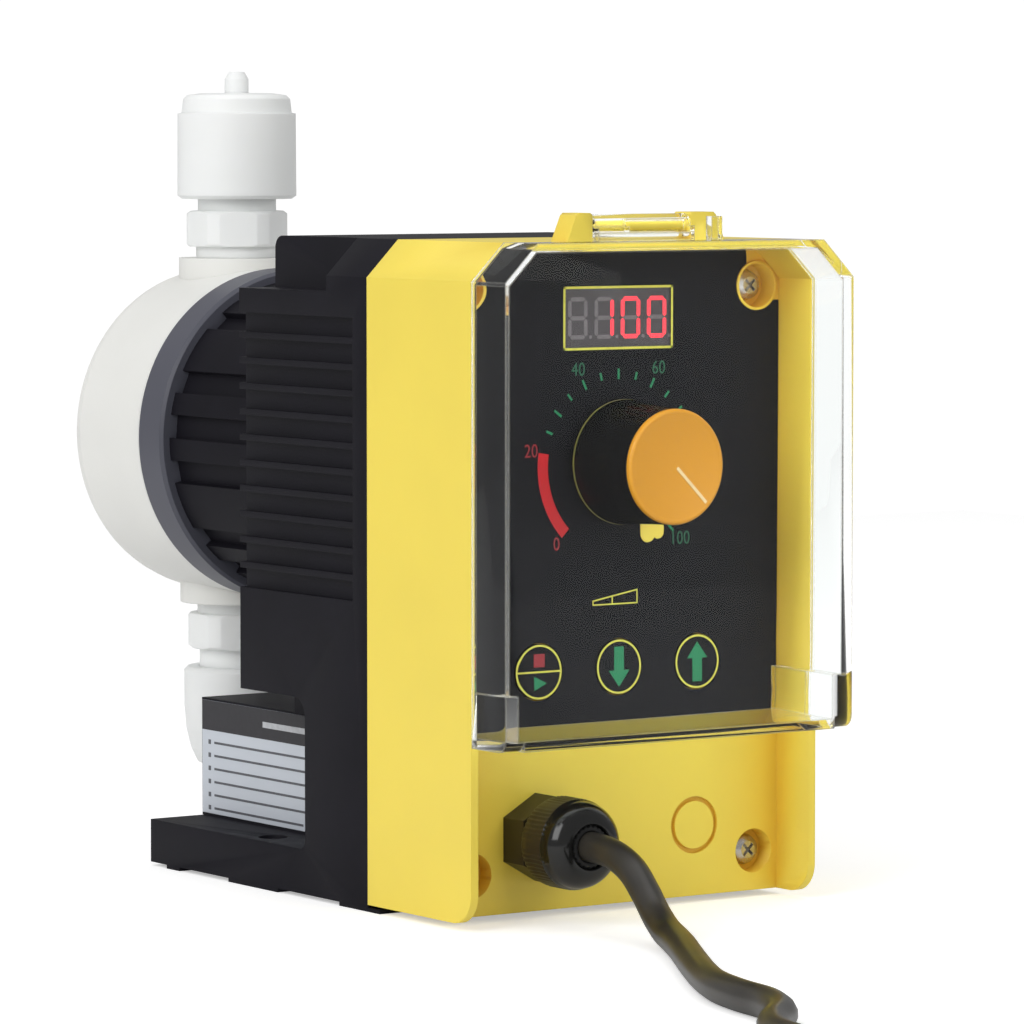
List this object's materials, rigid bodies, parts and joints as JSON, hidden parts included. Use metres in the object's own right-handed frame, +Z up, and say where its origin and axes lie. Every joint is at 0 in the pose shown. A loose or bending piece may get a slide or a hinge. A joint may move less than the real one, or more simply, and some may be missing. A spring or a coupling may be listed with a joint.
{
  "type": "solenoid diaphragm dosing pump",
  "caption": "Solenoid diaphragm dosing pump: finned drive, round pump head with two valves, control box with stroke knob, keypad, clear hinged cover and mains lead.",
  "frame": {"origin": "midway between the two mounting holes, on the plane of the foot pads' undersides", "axes": "+X to the right when facing the panel, +Y from the panel towards the pump head, +Z up"},
  "size_m": [0.1575, 0.5129, 0.1921],
  "materials": {
    "black_plastic": "fine matte texture",
    "yellow_plastic": "satin",
    "white_plastic": "satin, slightly translucent",
    "grey_plastic": "satin",
    "clear_plastic": "clear",
    "panel": "printed film",
    "label": "printed film",
    "window": "tinted",
    "knob_black": "gloss",
    "knob_amber": "satin",
    "steel": "bare",
    "brass": "bare",
    "copper": "enamelled wire",
    "board": "solder mask",
    "electronics": "moulded",
    "bobbin": "moulded",
    "rubber": "moulded",
    "ceramic": "polished ceramic",
    "gland_plastic": "satin",
    "cord_rubber": "smooth"
  },
  "bodies": {
    "housing": {"rear_housing": "black_plastic", "front_cover": "yellow_plastic", "housing_gasket": "rubber", "cover_screws": "steel", "base_label": "label", "hinge_pin": "yellow_plastic", "panel_overlay": "panel", "display_window": "window", "display_module": "electronics", "circuit_board": "board", "board_screws": "steel", "tact_switches": "electronics", "power_board": "board", "capacitors": "electronics", "spindle_bush": "brass", "stop_guide": "brass", "solenoid_housing": "black_plastic", "solenoid_screws": "steel", "magnet_yoke": "steel", "coil_bobbin": "bobbin", "coil_winding": "copper", "pole_core": "steel", "guide_bush": "brass", "return_spring": "steel", "head_flange": "grey_plastic", "flange_screws": "steel", "diaphragm": "rubber", "pump_head": "white_plastic", "head_bolts": "steel", "discharge_valve_body": "white_plastic", "discharge_seat": "ceramic", "discharge_nut": "white_plastic", "discharge_nipple": "white_plastic", "suction_valve_body": "white_plastic", "suction_seat": "ceramic", "suction_nut": "white_plastic", "suction_nipple": "white_plastic", "valve_seals": "rubber", "gland_body": "gland_plastic", "gland_locknut": "gland_plastic", "gland_seal": "rubber", "gland_nut": "gland_plastic", "power_cord": "cord_rubber", "cord_coil": "cord_rubber", "cord_tie": "cord_rubber", "mains_plug": "rubber", "plug_pins": "brass"},
    "lid": {"clear_cover": "clear_plastic"},
    "knob": {"knob_body": "knob_black", "knob_cap": "knob_amber", "stroke_spindle": "steel"},
    "stop": {"stroke_stop": "steel"},
    "armature": {"armature": "steel", "push_rod": "steel", "diaphragm_plate": "steel"},
    "key_start": {"key_start": "panel"},
    "key_down": {"key_down": "panel"},
    "key_up": {"key_up": "panel"},
    "suction_ball": {"suction_ball": "ceramic"},
    "discharge_ball": {"discharge_ball": "ceramic"}
  },
  "joints": [
    {"name": "lid_hinge", "type": "hinge", "parent": "housing", "child": "lid", "pos_m": [0, -0.0906, 0.1562], "axis": [-1, 0, 0], "range_deg": [0, 115]},
    {"name": "stroke_knob", "type": "hinge", "parent": "housing", "child": "knob", "pos_m": [0, -0.09, 0.1025], "axis": [0, -1, 0], "range_deg": [0, 270]},
    {"name": "stop_travel", "type": "slide", "parent": "housing", "child": "stop", "axis": [0, 1, 0], "range_m": [0, 0.0015]},
    {"name": "armature_stroke", "type": "slide", "parent": "housing", "child": "armature", "axis": [0, 1, 0], "range_m": [0, 0.0015], "stiffness_N_per_m": 2000, "springref_m": -0.003, "deforming": ["return_spring", "diaphragm"]},
    {"name": "key_start_press", "type": "slide", "parent": "housing", "child": "key_start", "axis": [0, 1, 0], "range_m": [0, 0.0005], "stiffness_N_per_m": 200, "springref_m": -0.001},
    {"name": "key_down_press", "type": "slide", "parent": "housing", "child": "key_down", "axis": [0, 1, 0], "range_m": [0, 0.0005], "stiffness_N_per_m": 200, "springref_m": -0.001},
    {"name": "key_up_press", "type": "slide", "parent": "housing", "child": "key_up", "axis": [0, 1, 0], "range_m": [0, 0.0005], "stiffness_N_per_m": 200, "springref_m": -0.001},
    {"name": "suction_ball_lift", "type": "slide", "parent": "housing", "child": "suction_ball", "axis": [0, 0, 1], "range_m": [0, 0.002]},
    {"name": "discharge_ball_lift", "type": "slide", "parent": "housing", "child": "discharge_ball", "axis": [0, 0, 1], "range_m": [0, 0.002]}
  ],
  "couplings": [
    {"joint": "stroke_knob", "follows": "stop_travel", "rad_per_m": 3141.5}
  ]
}
